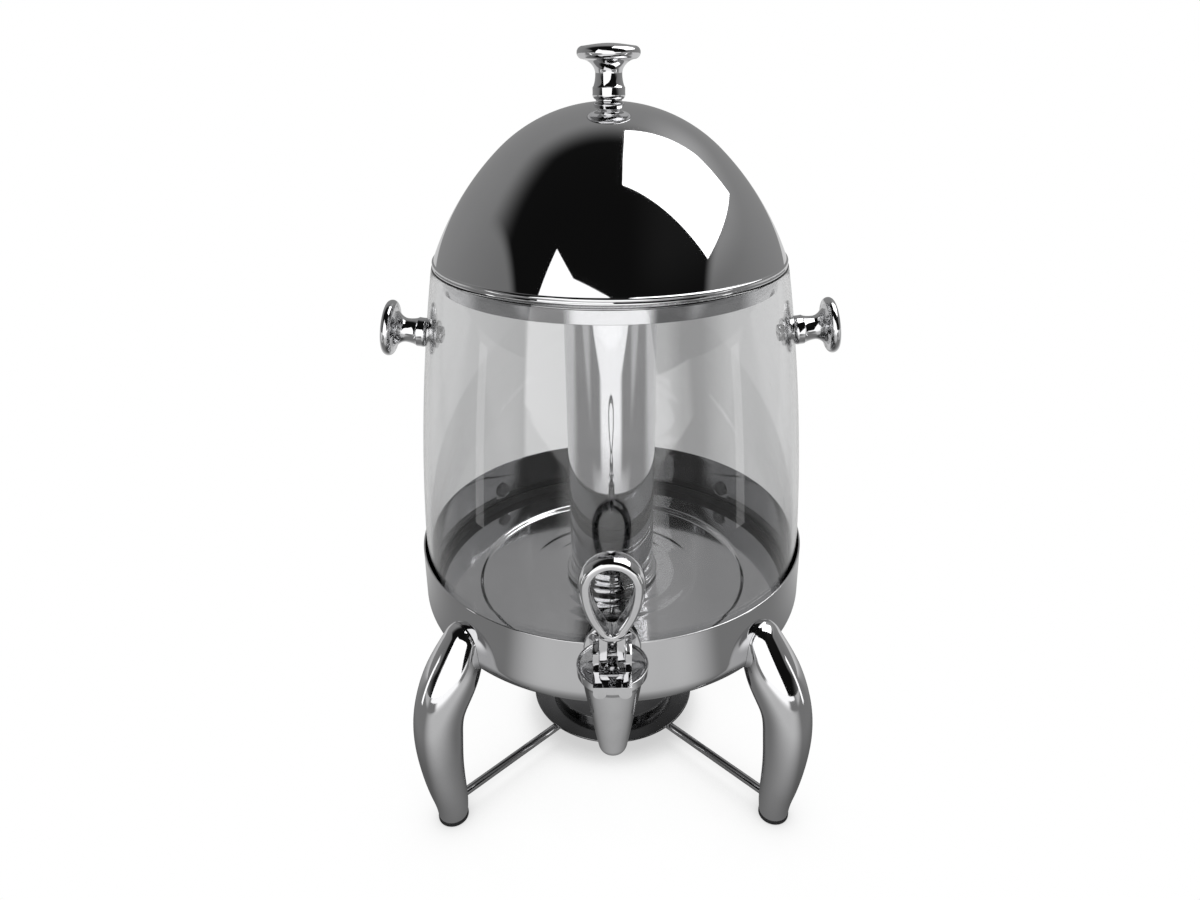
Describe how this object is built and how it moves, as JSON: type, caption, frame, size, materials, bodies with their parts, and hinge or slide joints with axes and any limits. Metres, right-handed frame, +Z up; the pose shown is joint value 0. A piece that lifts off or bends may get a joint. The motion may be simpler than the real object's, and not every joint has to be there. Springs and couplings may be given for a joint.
{
  "type": "juice dispenser",
  "caption": "Free-standing buffet juice dispenser: domed lid, clear tapered barrel with an ice tube, polished base pan on curved legs, and a lever tap.",
  "frame": {"origin": "on the floor under the middle of the vessel", "axes": "+Z up, the tap points to -Y, carrying knobs along X"},
  "size_m": [0.2976, 0.3158, 0.4839],
  "materials": {
    "polished_steel": "mirror-polished stainless steel",
    "knob_chrome": "turned and polished, chrome plated",
    "cast_leg": "cast, polished and chrome plated",
    "tap_chrome": "cast brass, chrome plated",
    "clear_plastic": "clear polycarbonate",
    "rubber": "silicone rubber",
    "steel_fastener": "plain stainless steel"
  },
  "bodies": {
    "dispenser": {"barrel": "clear_plastic", "barrel_gasket": "rubber", "base_pan": "polished_steel", "brace_plate": "polished_steel", "brace_plate_ring": "polished_steel", "brace_rod_front_left": "polished_steel", "brace_rod_front_right": "polished_steel", "brace_rod_rear_left": "polished_steel", "brace_rod_rear_right": "polished_steel", "floor_support_ring": "polished_steel", "foot_front_left": "rubber", "foot_front_right": "rubber", "foot_rear_left": "rubber", "foot_rear_right": "rubber", "ice_tube": "polished_steel", "ice_tube_bolt": "steel_fastener", "ice_tube_gasket": "rubber", "ice_tube_nut": "steel_fastener", "leg_front_left": "cast_leg", "leg_front_right": "cast_leg", "leg_rear_left": "cast_leg", "leg_rear_right": "cast_leg", "leg_screws": "steel_fastener", "side_knob_left": "knob_chrome", "side_knob_right": "knob_chrome", "side_knob_screws": "steel_fastener", "side_knob_washers": "steel_fastener", "tap_body": "tap_chrome", "tap_bonnet": "tap_chrome", "tap_collar": "tap_chrome", "tap_lever_pin": "tap_chrome", "tap_shank_nut": "steel_fastener", "tap_spring": "steel_fastener", "tap_washer_inner": "rubber", "tap_washer_outer": "rubber", "vessel_floor": "polished_steel"},
    "lid": {"lid_dome": "polished_steel", "lid_skirt_ring": "polished_steel", "lid_knob": "knob_chrome", "lid_knob_washer": "steel_fastener", "lid_knob_screw": "steel_fastener"},
    "tap_stem": {"tap_stem": "tap_chrome", "tap_valve_seal": "rubber"},
    "tap_lever": {"tap_lever": "tap_chrome"}
  },
  "joints": [
    {"name": "lid_lift", "type": "slide", "parent": "dispenser", "child": "lid", "axis": [0, 0, 1], "range_m": [0, 0.06]},
    {"name": "tap_lever_pull", "type": "hinge", "parent": "dispenser", "child": "tap_lever", "pos_m": [0, -0.1625, 0.1861], "axis": [1, 0, 0], "range_deg": [0, 40], "stiffness_Nm_per_rad": 0.3, "springref_deg": -11.46},
    {"name": "tap_stem_lift", "type": "slide", "parent": "dispenser", "child": "tap_stem", "axis": [0, 0, 1], "range_m": [0, 0.0048], "deforming": ["tap_spring"]}
  ],
  "couplings": [
    {"joint": "tap_stem_lift", "follows": "tap_lever_pull", "m_per_rad": 0.0068}
  ]
}
